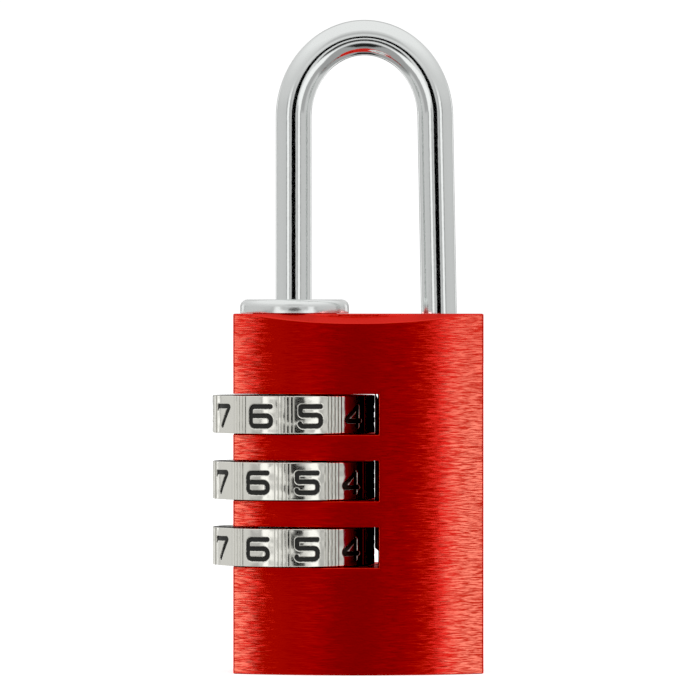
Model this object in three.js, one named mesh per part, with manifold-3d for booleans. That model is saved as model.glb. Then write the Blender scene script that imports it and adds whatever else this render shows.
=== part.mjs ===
// A small three-wheel combination padlock, in millimetres, with +Z up.
// The origin is the centre of the body's flat bottom face. +X is the side of the short toe leg, and the
// front of the lock faces -Y. The long leg, the wheels and everything inside them share the lock axis,
// which is parallel to Z at x = lockAxisX.
import * as THREE from 'three';
import { mergeVertices } from 'three/addons/utils/BufferGeometryUtils.js';
import Module from 'manifold-3d';

const wasm = await Module();
wasm.setup();

// Body: two bowed faces between two flat sides.
const bodyWidth = 21;
const bodyDepth = 13;
const bodyHeight = 30.2;
const faceRadius = 22;
const bevelInset = 2.08;
const bevelDrop = 0.81;

// Lock axis, wheels and the slots that they turn in.
const lockAxisX = -5.46;
const wheelPitch = 5.55;
const middleWheelZ = 16.23;
const wheelRadius = 6.85;
const panelRadius = 6.68;
const wheelHeight = 3.16;
const slotHeight = 3.4;
const slotReach = 7.18;
const wheelDrop = 0.03;
const digitCount = 10;
const panelHalfAngle = THREE.MathUtils.degToRad(13.5);
const ridgeHalfAngle = THREE.MathUtils.degToRad(3);
const wheelTurn = THREE.MathUtils.degToRad(-79.4);
const upperWheelPlay = THREE.MathUtils.degToRad(2.4);

// Shackle: long leg on the lock axis, half-elliptical bow, toe leg that leans outwards a little.
const wireRadius = 1.5;
const bowBaseZ = 46.75;
const bowHalfWidth = 5.98;
const bowRise = 6.75;
const toeLean = 0.0187;
const toeEndZ = 25.6;
const shoulderZ = 22.6;
const tenonRadius = 1;
const tenonEndZ = 8.5;

// Bores in the body.
const mainBoreRadius = 3.6;
const toeHoleX = 6.84;
const toeHoleRadius = 1.65;
const toeHoleEndZ = 25.3;
const detentHoleRadius = 0.9;
const detentHoleX = 2.1;
const detentHoleY = 1.2;
const detentHoleEndZ = 24;

// Top bushing. Its flange stands flangeOffset to the right of the lock axis.
const flangeRadius = 4.58;
const flangeOffset = 0.08;
const flangeTopZ = 31.4;
const flangeEdge = 0.4;
const spigotRadius = 3.55;
const legBoreRadius = 1.6;

// Sleeves: each has a web with a gate near its top, and two keys in its wheel's notches.
const sleeveRadius = 3;
const sleeveLength = 5.45;
const chamberRadius = 2.45;
const webThickness = 1.5;
const webBoreRadius = 1.65;
const gateWidth = 1.5;
const gateReach = 2.4;
const keyReach = 3.5;
const keyWidth = 0.9;
const keyLift = 0.65;
const keyHeight = 0.8;
const resetShift = 1;

// Wheel bore: a notched ring at the top, plain below it.
const ringRadius = 3.1;
const notchReach = 3.62;
const notchWidth = 1.3;
const ringHeight = 1;
const wheelBoreRadius = 3.65;

// Spindle.
const spindleRadius = 1.4;
const spindleBoreRadius = 1.05;
const spindleEndZ = 8.3;
const finReach = 2.25;
const finWidth = 1.3;
const finThickness = 1.2;
const finGap = resetShift + 0.1;
const pinRadius = 0.35;
const pinHoleRadius = 0.4;
const pinHalfLength = 1.3;
const pinZ = 8.95;

// Bottom of the main bore.
const plugRadius = 3.55;
const plugTopZ = 3.2;
const plugRecess = 0.15;
const washerRadius = 3.3;
const washerBoreRadius = 1.8;
const washerThickness = 0.6;
const springRadius = 2.6;
const springWireRadius = 0.3;
const springTurns = 3.5;

// Detent spring strip, with ends cut at a slant.
const stripThickness = 0.4;
const stripWidth = 0.9;
const stripClearance = 0.01;
const stripEnds = [10.4, 23.55];
const stripEndDrops = [0.35, 0.8];
const bumpRise = 0.05;
const bumpLength = 1.2;
const bumpWidth = 0.3;
const detentPlugLength = 1.6;
const detentPlugRadius = detentHoleRadius - 0.05;

// Gaps between stacked pieces, and how far cutting and joining solids run past what they cut or join.
const stackGap = 0.1;
const seatGap = 0.02;
const cutMargin = 1;
const joinOverlap = 0.3;
const mergeDistance = 1e-4;

const wheelZs = [middleWheelZ + wheelPitch, middleWheelZ, middleWheelZ - wheelPitch];
const wheelNames = ['upper', 'middle', 'lower'];
const roundSides = 48;
const smallSides = 24;
const pinSides = 16;
const springSides = 4;

// A closed three.js geometry as a manifold solid.
function solidOf(geometry) {
  geometry.deleteAttribute('normal');
  geometry.deleteAttribute('uv');
  const merged = mergeVertices(geometry, mergeDistance);
  const vertProperties = Float32Array.from(merged.attributes.position.array);
  const triVerts = Uint32Array.from(merged.index.array);
  return new wasm.Manifold(new wasm.Mesh({ numProp: 3, vertProperties, triVerts }));
}

// A manifold solid as a three.js geometry.
function geometryOf(solid) {
  const { vertProperties, triVerts } = solid.getMesh();
  const geometry = new THREE.BufferGeometry();
  geometry.setAttribute('position', new THREE.BufferAttribute(vertProperties, 3));
  geometry.setIndex(new THREE.BufferAttribute(triVerts, 1));
  geometry.computeVertexNormals();
  return geometry;
}

// An upright round bar between two heights.
function bar(radius, bottom, top, sides = roundSides, x = 0, y = 0) {
  const geometry = new THREE.CylinderGeometry(radius, radius, top - bottom, sides);
  geometry.rotateX(Math.PI / 2);
  geometry.translate(x, y, (bottom + top) / 2);
  return solidOf(geometry);
}

// A box between two corners.
function block(low, high) {
  const size = high.map((value, axis) => value - low[axis]);
  const geometry = new THREE.BoxGeometry(...size);
  geometry.translate(...high.map((value, axis) => (value + low[axis]) / 2));
  return solidOf(geometry);
}

// An outline in X and Y, extruded between two heights.
function prism(outline, bottom, top, curveSegments = 12) {
  const options = { depth: top - bottom, bevelEnabled: false, curveSegments };
  const geometry = new THREE.ExtrudeGeometry(outline, options);
  geometry.translate(0, 0, bottom);
  return solidOf(geometry);
}

// A box that points outwards from the Z axis at an angle.
function spoke(inner, outer, width, bottom, top, angle) {
  const geometry = new THREE.BoxGeometry(outer - inner, width, top - bottom);
  geometry.translate((inner + outer) / 2, 0, (bottom + top) / 2);
  geometry.rotateZ(angle);
  return solidOf(geometry);
}

// The body's outline: front arc, right side, back arc, left side.
function bodyOutline() {
  const arcCentre = faceRadius - bodyDepth / 2;
  const halfArc = Math.asin(bodyWidth / 2 / faceRadius);
  const outline = new THREE.Shape();
  outline.absarc(0, arcCentre, faceRadius, -Math.PI / 2 - halfArc, -Math.PI / 2 + halfArc, false);
  outline.absarc(0, -arcCentre, faceRadius, Math.PI / 2 - halfArc, Math.PI / 2 + halfArc, false);
  return outline;
}

// A wedge along X that planes the bevel off one long top edge. side is -1 at the front and 1 at the back.
function bevelWedge(side) {
  const slope = bevelDrop / bevelInset;
  const inner = bodyDepth / 2 - bevelInset;
  const outer = bodyDepth / 2 + cutMargin;
  const section = new THREE.Shape();
  section.moveTo(inner - cutMargin, bodyHeight + slope * cutMargin);
  section.lineTo(outer, bodyHeight - slope * (outer - inner));
  section.lineTo(outer, bodyHeight + slope * cutMargin);
  const depth = bodyWidth + 2 * cutMargin;
  const geometry = new THREE.ExtrudeGeometry(section, { depth, bevelEnabled: false });
  geometry.translate(0, 0, -depth / 2);
  geometry.rotateY(Math.PI / 2);
  geometry.rotateX(Math.PI / 2);
  if (side < 0) {
    geometry.rotateZ(Math.PI);
  }
  return solidOf(geometry);
}

// The body: an extruded outline with bevels, two bores, a toe hole and three slots open to the left.
function bodySolid() {
  let solid = prism(bodyOutline(), 0, bodyHeight);
  solid = solid.subtract(bevelWedge(-1)).subtract(bevelWedge(1));
  const above = bodyHeight + cutMargin;
  solid = solid.subtract(bar(mainBoreRadius, -cutMargin, above, roundSides, lockAxisX));
  solid = solid.subtract(bar(toeHoleRadius, toeHoleEndZ, above, smallSides, toeHoleX));
  const detentHole = bar(detentHoleRadius, -cutMargin, detentHoleEndZ, smallSides, detentHoleX, detentHoleY);
  solid = solid.subtract(detentHole);
  for (const z of wheelZs) {
    const low = [-bodyWidth, -bodyDepth, z - slotHeight / 2];
    const high = [lockAxisX + slotReach, bodyDepth, z + slotHeight / 2];
    solid = solid.subtract(block(low, high));
  }
  return solid;
}

// The shackle's centreline in the XZ plane, seen from the lock axis. The parameter is shared out so that
// the straight legs take few steps and the bow takes most of them.
class ShackleCentreline extends THREE.Curve {
  constructor() {
    super();
    this.bowStart = 0.05;
    this.bowEnd = 0.95;
  }

  getPoint(t, target = new THREE.Vector3()) {
    if (t < this.bowStart) {
      const part = t / this.bowStart;
      return target.set(0, 0, shoulderZ + (bowBaseZ - shoulderZ) * part);
    }
    if (t > this.bowEnd) {
      const drop = (bowBaseZ - toeEndZ) * (t - this.bowEnd) / (1 - this.bowEnd);
      return target.set(2 * bowHalfWidth + toeLean * drop, 0, bowBaseZ - drop);
    }
    const angle = Math.PI * (1 - (t - this.bowStart) / (this.bowEnd - this.bowStart));
    return target.set(bowHalfWidth * (1 + Math.cos(angle)), 0, bowBaseZ + bowRise * Math.sin(angle));
  }

  // Spacing follows the parameter instead of the arc length.
  getUtoTmapping(u) {
    return u;
  }
}

// The bent wire and its tenon, with the cross pin's hole, seen from the lock axis.
function shackleSolid() {
  const section = new THREE.Shape();
  section.absarc(0, 0, wireRadius, 0, 2 * Math.PI, false);
  const options = { steps: 40, curveSegments: 10, extrudePath: new ShackleCentreline() };
  const wire = solidOf(new THREE.ExtrudeGeometry(section, options));
  const tenon = bar(tenonRadius, tenonEndZ, shoulderZ + joinOverlap, smallSides);
  const pinHole = crossBar(pinHoleRadius, 2 * tenonRadius);
  return wire.add(tenon).subtract(pinHole);
}

// A round bar along Y at the cross pin's height.
function crossBar(radius, halfLength) {
  const geometry = new THREE.CylinderGeometry(radius, radius, 2 * halfLength, pinSides);
  geometry.translate(0, 0, pinZ);
  return solidOf(geometry);
}

// The spindle: a tube with one fin below each sleeve's web, and the cross pin's hole.
function spindleSolid() {
  let solid = bar(spindleRadius, spindleEndZ, shoulderZ - stackGap, smallSides);
  for (const z of wheelZs) {
    const finTop = z + sleeveLength / 2 - webThickness - finGap;
    solid = solid.add(spoke(0, finReach, finWidth, finTop - finThickness, finTop, 0));
  }
  solid = solid.subtract(bar(spindleBoreRadius, 0, bodyHeight, smallSides));
  return solid.subtract(crossBar(pinHoleRadius, 2 * spindleRadius));
}

// One sleeve, centred on its wheel's height.
function sleeveSolid() {
  const top = sleeveLength / 2;
  let solid = bar(sleeveRadius, -top, top);
  for (const angle of [wheelTurn, wheelTurn + Math.PI]) {
    const key = spoke(sleeveRadius - joinOverlap, keyReach, keyWidth, keyLift, keyLift + keyHeight, angle);
    solid = solid.add(key);
  }
  solid = solid.subtract(bar(chamberRadius, -top - cutMargin, top - webThickness));
  solid = solid.subtract(bar(webBoreRadius, 0, top + cutMargin, smallSides));
  return solid.subtract(spoke(0, gateReach, gateWidth, 0, top + cutMargin, 0));
}

// One number wheel, centred on its own height. Its first digit panel faces +X.
function wheelSolid() {
  const outline = new THREE.Shape();
  const pitch = 2 * Math.PI / digitCount;
  for (let digit = 0; digit < digitCount; digit += 1) {
    const centre = digit * pitch;
    const corners = [
      [panelRadius, centre - panelHalfAngle],
      [panelRadius, centre + panelHalfAngle],
      [wheelRadius, centre + pitch / 2 - ridgeHalfAngle],
      [wheelRadius, centre + pitch / 2 + ridgeHalfAngle],
    ];
    for (const [index, [radius, angle]] of corners.entries()) {
      const place = [radius * Math.cos(angle), radius * Math.sin(angle)];
      if (digit === 0 && index === 0) {
        outline.moveTo(...place);
      } else {
        outline.lineTo(...place);
      }
    }
  }
  const top = wheelHeight / 2;
  let solid = prism(outline, -top, top).subtract(bar(ringRadius, -top - cutMargin, top + cutMargin));
  solid = solid.subtract(bar(wheelBoreRadius, -top - cutMargin, top - ringHeight));
  for (let digit = 0; digit < digitCount; digit += 1) {
    const notch = spoke(ringRadius - cutMargin, notchReach, notchWidth, -top, top + cutMargin, digit * pitch);
    solid = solid.subtract(notch);
  }
  return solid;
}

// The bushing: a spigot with the chamber that stops the upper fin, and a flange a little off its centre.
function bushingSolid() {
  const bottom = wheelZs[0] + sleeveLength / 2 + stackGap;
  const finTop = wheelZs[0] + sleeveLength / 2 - webThickness - finGap;
  const chamberTop = finTop + wheelPitch + stackGap;
  const spigot = turned([
    [legBoreRadius, chamberTop],
    [chamberRadius, chamberTop],
    [chamberRadius, bottom],
    [spigotRadius, bottom],
    [spigotRadius, flangeTopZ - flangeEdge],
    [legBoreRadius, flangeTopZ - flangeEdge],
  ]);
  const flange = turned([
    [legBoreRadius + flangeOffset, bodyHeight + seatGap],
    [flangeRadius, bodyHeight + seatGap],
    [flangeRadius, flangeTopZ - flangeEdge],
    [flangeRadius - flangeEdge, flangeTopZ],
    [legBoreRadius + flangeOffset, flangeTopZ],
  ]);
  return spigot.add(flange.translate(flangeOffset, 0, 0));
}

// A ring turned about Z from a closed profile of [radius, height] pairs.
function turned(profile) {
  const points = [...profile, profile[0]].map(([radius, height]) => new THREE.Vector2(radius, height));
  const geometry = new THREE.LatheGeometry(points, roundSides);
  geometry.rotateX(Math.PI / 2);
  return solidOf(geometry);
}

// The return spring's centreline: a helix about the lock axis.
class SpringHelix extends THREE.Curve {
  constructor(bottom, top) {
    super();
    this.bottom = bottom;
    this.top = top;
  }

  getPoint(t, target = new THREE.Vector3()) {
    const angle = 2 * Math.PI * springTurns * t;
    const z = this.bottom + (this.top - this.bottom) * t;
    return target.set(springRadius * Math.cos(angle), springRadius * Math.sin(angle), z);
  }
}

const washerTopZ = wheelZs[2] - sleeveLength / 2 - stackGap;
const washerBottomZ = washerTopZ - washerThickness;

// The round-wire coil spring between the bottom plug and the washer.
function returnSpringSolid() {
  const section = new THREE.Shape();
  section.absarc(0, 0, springWireRadius, 0, 2 * Math.PI, false);
  const inset = springWireRadius + 2 * seatGap;
  const extrudePath = new SpringHelix(plugTopZ + inset, washerBottomZ - inset);
  return solidOf(new THREE.ExtrudeGeometry(section, { steps: 56, curveSegments: springSides, extrudePath }));
}

// The detent strip stands in its drilled hole, just behind the wheels' widest line, with one low bump for each
// wheel. Its slanted ends are lower on the side away from the wheels.
function detentSpringSolid() {
  const innerX = lockAxisX + wheelRadius + stripClearance;
  const outerX = innerX + stripThickness;
  const side = new THREE.Shape();
  side.moveTo(innerX, stripEnds[0]);
  side.lineTo(outerX, stripEnds[0] - stripEndDrops[0]);
  side.lineTo(outerX, stripEnds[1] - stripEndDrops[1]);
  side.lineTo(innerX, stripEnds[1]);
  const geometry = new THREE.ExtrudeGeometry(side, { depth: stripWidth, bevelEnabled: false });
  geometry.rotateX(Math.PI / 2);
  geometry.translate(0, detentHoleY + stripWidth / 2, 0);
  let solid = solidOf(geometry);
  for (const z of wheelZs) {
    const bumpLow = [innerX - bumpRise, detentHoleY - bumpWidth / 2, z - bumpLength / 2];
    const bumpHigh = [innerX + stripThickness / 2, detentHoleY + bumpWidth / 2, z + bumpLength / 2];
    solid = solid.add(block(bumpLow, bumpHigh));
  }
  return solid;
}

// A finish: colour, roughness and metalness.
function finish(color, roughness, metalness = 1) {
  return new THREE.MeshStandardMaterial({ color, roughness, metalness });
}

const redAnodised = finish(0xa01010, 0.35);
const chrome = finish(0xdcdcda, 0.12);
const nickel = finish(0xc8c6be, 0.25);
const zinc = finish(0xa8a8a4, 0.45);
const springSteel = finish(0x4a4844, 0.4);

const padlock = new THREE.Group();
const lockAxis = new THREE.Group();
lockAxis.position.x = lockAxisX;
padlock.add(lockAxis);

// Adds one named solid to the assembly at a height and a turn about Z.
function place(parent, name, solid, material, height = 0, turn = 0) {
  const mesh = new THREE.Mesh(geometryOf(solid), material);
  mesh.name = name;
  mesh.position.z = height;
  mesh.rotation.z = turn;
  parent.add(mesh);
}

place(padlock, 'body', bodySolid(), redAnodised);
place(lockAxis, 'top_bushing', bushingSolid(), chrome);
place(lockAxis, 'shackle', shackleSolid(), chrome);
place(lockAxis, 'locking_spindle', spindleSolid(), zinc);
place(lockAxis, 'spindle_pin', crossBar(pinRadius, pinHalfLength), springSteel);

const wheel = wheelSolid();
const sleeve = sleeveSolid();
for (const [index, name] of wheelNames.entries()) {
  const play = index === 0 ? upperWheelPlay : 0;
  place(lockAxis, `dial_${name}`, wheel, nickel, wheelZs[index] - wheelDrop, wheelTurn + play);
  place(lockAxis, `sleeve_${name}`, sleeve, zinc, wheelZs[index]);
}

const washer = bar(washerRadius, washerBottomZ, washerTopZ).subtract(bar(washerBoreRadius, 0, bodyHeight));
place(lockAxis, 'spring_washer', washer, zinc);
place(lockAxis, 'return_spring', returnSpringSolid(), springSteel);
place(lockAxis, 'bottom_plug', bar(plugRadius, plugRecess, plugTopZ), redAnodised);
place(padlock, 'detent_spring', detentSpringSolid(), springSteel);

const detentPlugEnds = [plugRecess, plugRecess + detentPlugLength];
const detentPlug = bar(detentPlugRadius, ...detentPlugEnds, smallSides, detentHoleX, detentHoleY);
place(padlock, 'detent_plug', detentPlug, redAnodised);

export default padlock;
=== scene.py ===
"""Studio picture of a small three-wheel combination padlock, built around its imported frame.

Lengths are in metres. +Z is up, the bowed front face looks along -Y, and the lock axis is the upright line
that the long leg, the collar and the number wheels share.
"""
import math

import bmesh
import bpy
import numpy as np
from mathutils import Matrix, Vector


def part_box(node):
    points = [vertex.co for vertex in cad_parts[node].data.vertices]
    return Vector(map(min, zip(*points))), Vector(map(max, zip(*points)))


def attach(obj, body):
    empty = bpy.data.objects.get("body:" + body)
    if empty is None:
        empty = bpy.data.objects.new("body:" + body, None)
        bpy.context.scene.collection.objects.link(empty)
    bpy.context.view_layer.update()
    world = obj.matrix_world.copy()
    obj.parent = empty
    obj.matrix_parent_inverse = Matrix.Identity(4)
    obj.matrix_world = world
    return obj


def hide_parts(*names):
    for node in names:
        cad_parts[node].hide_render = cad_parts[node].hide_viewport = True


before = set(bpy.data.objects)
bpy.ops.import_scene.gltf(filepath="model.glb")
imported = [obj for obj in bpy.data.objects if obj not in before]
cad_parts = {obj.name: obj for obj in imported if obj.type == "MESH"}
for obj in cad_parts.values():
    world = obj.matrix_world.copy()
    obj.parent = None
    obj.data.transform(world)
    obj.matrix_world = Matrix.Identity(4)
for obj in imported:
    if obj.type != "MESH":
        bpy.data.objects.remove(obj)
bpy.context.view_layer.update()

MM = 0.001
WHEELS = ("upper", "middle", "lower")

# Sizes read from the frame.
body_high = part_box("body")[1]
body_half_width = body_high.x
body_half_depth = body_high.y
body_height = body_high.z
collar_low, collar_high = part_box("top_bushing")
collar_x = (collar_low.x + collar_high.x) / 2
collar_radius = (collar_high.x - collar_low.x) / 2
shackle_low, shackle_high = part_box("shackle")
wire_radius = (shackle_high.y - shackle_low.y) / 2
wheel_boxes = {name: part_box(f"dial_{name}") for name in WHEELS}
wheel_zs = {name: (low.z + high.z) / 2 for name, (low, high) in wheel_boxes.items()}
wheel_half_height = (wheel_boxes["middle"][1].z - wheel_boxes["middle"][0].z) / 2
plug_low, plug_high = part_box("bottom_plug")
axis_x = (plug_low.x + plug_high.x) / 2
detent_low, detent_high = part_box("detent_plug")
strip_low, strip_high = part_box("detent_spring")

# Body sizes that the frame's boxes don't give.
FACE_RADIUS = 22 * MM
CORNER_RADIUS = 0.3 * MM
RIM_RADIUS = 0.12 * MM
BEVEL_INSET = 2.08 * MM
BEVEL_DROP = 0.81 * MM
MAIN_BORE_RADIUS = 3.6 * MM
TOE_HOLE_X = 6.84 * MM
TOE_HOLE_RADIUS = 1.65 * MM
TOE_HOLE_END = 25.3 * MM
DETENT_HOLE_END = 24 * MM
DETENT_HOLE_CLEARANCE = 0.05 * MM
BEVEL_SOFTNESS = 0.05 * MM
BEVEL_MOST_INSET = 1.5 * MM
BEVEL_RIM_SHARE = 0.4
BEVEL_ROW_MARGIN = 0.15 * MM
SLOT_ROW_MARGIN = 0.4 * MM
CUT_EDGE_ROUND = 0.06 * MM
CUT_OVERSHOOT = 1 * MM
SLOT_HEIGHT = 3.4 * MM
SLOT_REACH = 7.18 * MM
WHEEL_DROP = 0.03 * MM
STRIP_THICKNESS = 0.4 * MM
STRIP_END_DROPS = (0.35 * MM, 0.8 * MM)
STRIP_EDGE_ROUND = 0.02 * MM

# Collar under the long leg.
SPIGOT_RADIUS = 3.55 * MM
FIN_CHAMBER_RADIUS = 2.45 * MM
FIN_CHAMBER_TOP = 27.6 * MM
LEG_BORE_RADIUS = 1.6 * MM
SEAT_GAP = 0.02 * MM
FLANGE_FOOT_ROUND = 0.05 * MM
FLANGE_TOP_ROUND = 0.62 * MM
FLANGE_BORE_ROUND = 0.1 * MM
FLANGE_SHIFT_SPAN = 0.5 * MM

# Shackle centreline.
BOW_BASE = 46.75 * MM
BOW_HALF_WIDTH = 5.98 * MM
BOW_RISE = 6.75 * MM
TOE_LEAN = 0.0187
TOE_END = 25.6 * MM
SHOULDER = 22.6 * MM
TENON_RADIUS = 1 * MM
TENON_END = 8.5 * MM
TOE_ROUND = 0.5 * MM
LEG_STEPS = 60
BOW_STEPS = 160

# Number wheels.
WHEEL_RADIUS = 6.85 * MM
DIGITS = 10
PITCH = 2 * math.pi / DIGITS
WHEEL_TURN = math.radians(-79.4)
UPPER_WHEEL_PLAY = math.radians(2.4)
RIDGE_HALF_ANGLE = math.radians(5.4)
GROOVE_SPACING = math.radians(2.8)
PANEL_CROWN = 0.07 * MM
GROOVE_DEPTH = 0.05 * MM
GLYPH_HALF_WIDTH = 0.92 * MM
GLYPH_HALF_HEIGHT = 0.82 * MM
GLYPH_SHIFT = 0.075 * MM
GLYPH_DROP = 0.12 * MM
STROKE_HALF_WIDTH = 0.21 * MM
ENGRAVING_DEPTH = 0.12 * MM
GROOVE_WIDTH = math.radians(0.3)
RIDGE_STEP = math.radians(0.35)
WHEEL_EDGE_ROUND = 0.06 * MM
WHEEL_BORE_RADIUS = 3.65 * MM
RING_BORE_RADIUS = 3.1 * MM
RING_HEIGHT = 1 * MM
NOTCH_REACH = 3.62 * MM
NOTCH_WIDTH = 1.3 * MM
PANEL_COLUMNS = 64
RIDGE_COLUMNS = 44
RIM_ROWS = 64

# Studio. Angles are in degrees, the lens in millimetres.
LENS_LENGTH = 337
SENSOR_WIDTH = 36
EYE = Vector((-0.87 * MM, -550 * MM, 30.8 * MM))
AIM = Vector((-0.87 * MM, 0, 27.3 * MM))
SOFTBOX_DISTANCE = 0.9
SOFTBOX_TALL = 0.5
SOFTBOX_HEIGHT_ANGLE = -8
FLOOR_HALF_SIZE = 3.0
BLACK_LEVEL = 0.012


# ---------------------------------------------------------------- mesh making

def grid_faces(rows, columns, wrap_rows, wrap_columns):
    """Quads over a rows x columns grid of points, as an (n, 4) array of point numbers.

    Row i and row i + 1 are joined at columns j and j + 1. A wrapped direction joins its last line to its
    first.
    """
    i = np.arange(rows if wrap_rows else rows - 1)[:, None]
    j = np.arange(columns if wrap_columns else columns - 1)[None, :]
    below, above = i * columns, (i + 1) % rows * columns
    left, right = j, (j + 1) % columns
    corners = [below + left, below + right, above + right, above + left]
    return np.stack([np.broadcast_to(c, (i.size, j.size)) for c in corners], axis=-1).reshape(-1, 4)


def end_fans(rows, sides):
    """Triangles that close a grid's first and last ring on two points numbered just after the grid."""
    first, last = rows * sides, rows * sides + 1
    start = (rows - 1) * sides
    bottom = [[first, (k + 1) % sides, k] for k in range(sides)]
    top = [[last, start + k, start + (k + 1) % sides] for k in range(sides)]
    return bottom + top


def new_piece(name, points, faces):
    """A smooth-shaded mesh object from an (n, 3) array of points and a list of faces."""
    mesh = bpy.data.meshes.new(name)
    mesh.from_pydata(np.asarray(points).reshape(-1, 3).tolist(), [], [list(map(int, f)) for f in faces])
    mesh.validate()
    mesh.shade_smooth()
    piece = bpy.data.objects.new(name, mesh)
    bpy.context.scene.collection.objects.link(piece)
    return piece


def face_outwards(piece):
    """Turns every face of a closed piece outwards."""
    mesh = piece.data
    work = bmesh.new()
    work.from_mesh(mesh)
    bmesh.ops.recalc_face_normals(work, faces=work.faces)
    work.to_mesh(mesh)
    work.free()
    return piece


def weighted_normals(piece):
    """Flat faces keep flat shading beside their rounded edges."""
    modifier = piece.modifiers.new("weighted normals", "WEIGHTED_NORMAL")
    modifier.weight = 100
    modifier.keep_sharp = True
    return piece


def apply_modifiers(piece):
    """Replaces the piece's mesh by what its modifiers make of it."""
    depsgraph = bpy.context.evaluated_depsgraph_get()
    mesh = bpy.data.meshes.new_from_object(piece.evaluated_get(depsgraph))
    piece.modifiers.clear()
    piece.data = mesh
    return piece


def round_edges(piece, width, sharper_than, clamp):
    """Rounds every edge that turns by more than an angle in degrees."""
    bevel = piece.modifiers.new("edge rounds", "BEVEL")
    bevel.width = width
    bevel.segments = 3
    bevel.limit_method = "ANGLE"
    bevel.angle_limit = math.radians(sharper_than)
    bevel.use_clamp_overlap = clamp
    apply_modifiers(piece)
    return weighted_normals(piece)


def rounded_path(corners, closed, steps=5):
    """Points along straight lines between corners, with each corner replaced by a circular arc.

    Each corner is (x, y, radius). The arc touches both lines at radius / tan(half the corner's angle) from
    the corner, and its centre lies on the bisector.
    """
    corners = [np.array(c, float) for c in corners]
    path = []
    for index, corner in enumerate(corners):
        at, radius = corner[:2], corner[2]
        if radius == 0 or (not closed and index in (0, len(corners) - 1)):
            path.append(at)
            continue
        before = corners[index - 1][:2] - at
        after = corners[(index + 1) % len(corners)][:2] - at
        before /= np.linalg.norm(before)
        after /= np.linalg.norm(after)
        half = math.acos(np.clip(before @ after, -1, 1)) / 2
        middle = before + after
        centre = at + middle / np.linalg.norm(middle) * radius / math.sin(half)
        start = at + before * radius / math.tan(half) - centre
        end = at + after * radius / math.tan(half) - centre
        sweep = math.atan2(start[0] * end[1] - start[1] * end[0], start @ end)
        for step in range(steps + 1):
            turn = sweep * step / steps
            c, s = math.cos(turn), math.sin(turn)
            path.append(centre + [start[0] * c - start[1] * s, start[0] * s + start[1] * c])
    return np.array(path)


def turned_piece(name, corners, centre, sides=128, closed=False):
    """A profile of (radius, height, corner radius) turned about an upright axis at centre = (x, y).

    A point of the profile at radius r and height z goes to (r cos a, r sin a, z) for each angle a. An open
    profile starts and ends on the axis, where one point closes it; a closed one makes a ring.
    """
    profile = rounded_path(corners, closed)
    if not closed:
        bottom, top = profile[0], profile[-1]
        profile = profile[1:-1]
    angles = np.linspace(0, 2 * math.pi, sides, endpoint=False)
    radius, height = profile[:, 0, None], profile[:, 1, None]
    points = np.stack([
        centre[0] + radius * np.cos(angles),
        centre[1] + radius * np.sin(angles),
        np.broadcast_to(height, (len(profile), sides)),
    ], axis=-1).reshape(-1, 3)
    faces = grid_faces(len(profile), sides, closed, True).tolist()
    if not closed:
        points = np.vstack([points, [*centre, bottom[1]], [*centre, top[1]]])
        faces += end_fans(len(profile), sides)
    return weighted_normals(face_outwards(new_piece(name, points, faces)))


def swept_tube(name, line, radius, sides=48):
    """A round tube along an open line of points, whose radius may change from point to point.

    At each point a circle of the given radius stands square to the line: its axes are the line's tangent
    crossed with Y, and Y made square to the tangent. One point closes each end.
    """
    line = np.asarray(line, float)
    radius = np.broadcast_to(radius, len(line))
    tangent = np.gradient(line, axis=0)
    tangent /= np.linalg.norm(tangent, axis=1, keepdims=True)
    side = np.cross(tangent, [0.0, 1.0, 0.0])
    side /= np.linalg.norm(side, axis=1, keepdims=True)
    across = np.cross(side, tangent)
    angles = np.linspace(0, 2 * math.pi, sides, endpoint=False)
    ring = (side[:, None] * np.cos(angles)[:, None] + across[:, None] * np.sin(angles)[:, None])
    points = (line[:, None] + ring * radius[:, None, None]).reshape(-1, 3)
    points = np.vstack([points, line[0], line[-1]])
    faces = grid_faces(len(line), sides, False, True).tolist() + end_fans(len(line), sides)
    return face_outwards(new_piece(name, points, faces))


def box_piece(name, low, high):
    """A plain box between two corners, used to cut with."""
    corner = np.array([[x, y, z] for x in (0, 1) for y in (0, 1) for z in (0, 1)])
    points = np.array(low) + corner * (np.array(high) - np.array(low))
    faces = [[0, 1, 3, 2], [4, 6, 7, 5], [0, 4, 5, 1], [2, 3, 7, 6], [0, 2, 6, 4], [1, 5, 7, 3]]
    return face_outwards(new_piece(name, points, faces))


# ---------------------------------------------------------------- body

def outline_quarter(arc_steps=34, corner_steps=6):
    """One quarter of the body's outline, from the middle of the front face to its right-hand side.

    The front face is an arc of FACE_RADIUS about a centre behind it. The corner is an arc of CORNER_RADIUS
    that touches that arc from inside and the flat side. Gives points and outward normals, both (n, 2).
    """
    arc_centre = FACE_RADIUS - body_half_depth
    corner_x = body_half_width - CORNER_RADIUS
    corner_y = arc_centre - math.sqrt((FACE_RADIUS - CORNER_RADIUS) ** 2 - corner_x ** 2)
    meet = math.asin(corner_x / (FACE_RADIUS - CORNER_RADIUS))
    face_angles = np.linspace(0, meet, arc_steps)
    corner_angles = np.linspace(meet, math.pi / 2, corner_steps + 1)[1:]
    face_normals = np.stack([np.sin(face_angles), -np.cos(face_angles)], axis=1)
    corner_normals = np.stack([np.sin(corner_angles), -np.cos(corner_angles)], axis=1)
    face = [0, arc_centre] + face_normals * FACE_RADIUS
    corner = [corner_x, corner_y] + corner_normals * CORNER_RADIUS
    return np.vstack([face, corner]), np.vstack([face_normals, corner_normals])


def full_outline():
    """The whole outline, anticlockwise from the left end of the front, as points and normals."""
    points, normals = outline_quarter()
    mirror_x, mirror_y = np.array([-1, 1]), np.array([1, -1])
    front = np.vstack([points[::-1] * mirror_x, points[1:]])
    front_normals = np.vstack([normals[::-1] * mirror_x, normals[1:]])
    back = front[::-1] * mirror_y
    back_normals = front_normals[::-1] * mirror_y
    return np.vstack([front, back]), np.vstack([front_normals, back_normals])


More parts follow.
